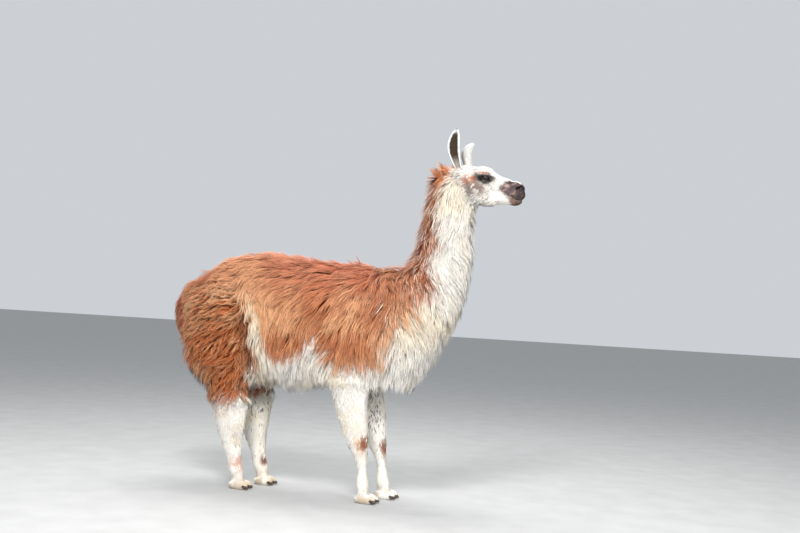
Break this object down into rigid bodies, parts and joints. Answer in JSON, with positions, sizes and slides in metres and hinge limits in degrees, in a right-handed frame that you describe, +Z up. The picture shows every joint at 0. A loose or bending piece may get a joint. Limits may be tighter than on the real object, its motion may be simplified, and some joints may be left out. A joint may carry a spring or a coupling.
{
  "type": "llama",
  "caption": "Life-size standing llama with a long woolly coat, upright neck and banana-shaped ears, as a still museum-type model.",
  "frame": {"origin": "on the floor, under the middle of the animal's bounding box", "axes": "+X towards the nose, +Y to the animal's left, +Z up"},
  "size_m": [1.826, 0.472, 1.775],
  "materials": {
    "rust_wool": "long soft red-brown wool in wavy locks",
    "white_wool": "long cream-white wool, hanging in locks",
    "short_hair": "short pale hair that lies close to the skin",
    "eye": "wet and glossy, near black with a dark brown iris",
    "nail_horn": "dark horn, slightly polished by wear"
  },
  "bodies": {
    "root": {"trunk": "rust_wool", "tail": "rust_wool", "neck": "white_wool", "head": "short_hair", "ear_right": "short_hair", "ear_left": "short_hair", "eye_right": "eye", "eye_left": "eye", "leg_front_right": "short_hair", "leg_front_left": "short_hair", "leg_hind_right": "short_hair", "leg_hind_left": "short_hair", "nail_front_right_outer": "nail_horn", "nail_front_right_inner": "nail_horn", "nail_front_left_outer": "nail_horn", "nail_front_left_inner": "nail_horn", "nail_hind_right_outer": "nail_horn", "nail_hind_right_inner": "nail_horn", "nail_hind_left_outer": "nail_horn", "nail_hind_left_inner": "nail_horn"}
  },
  "joints": []
}
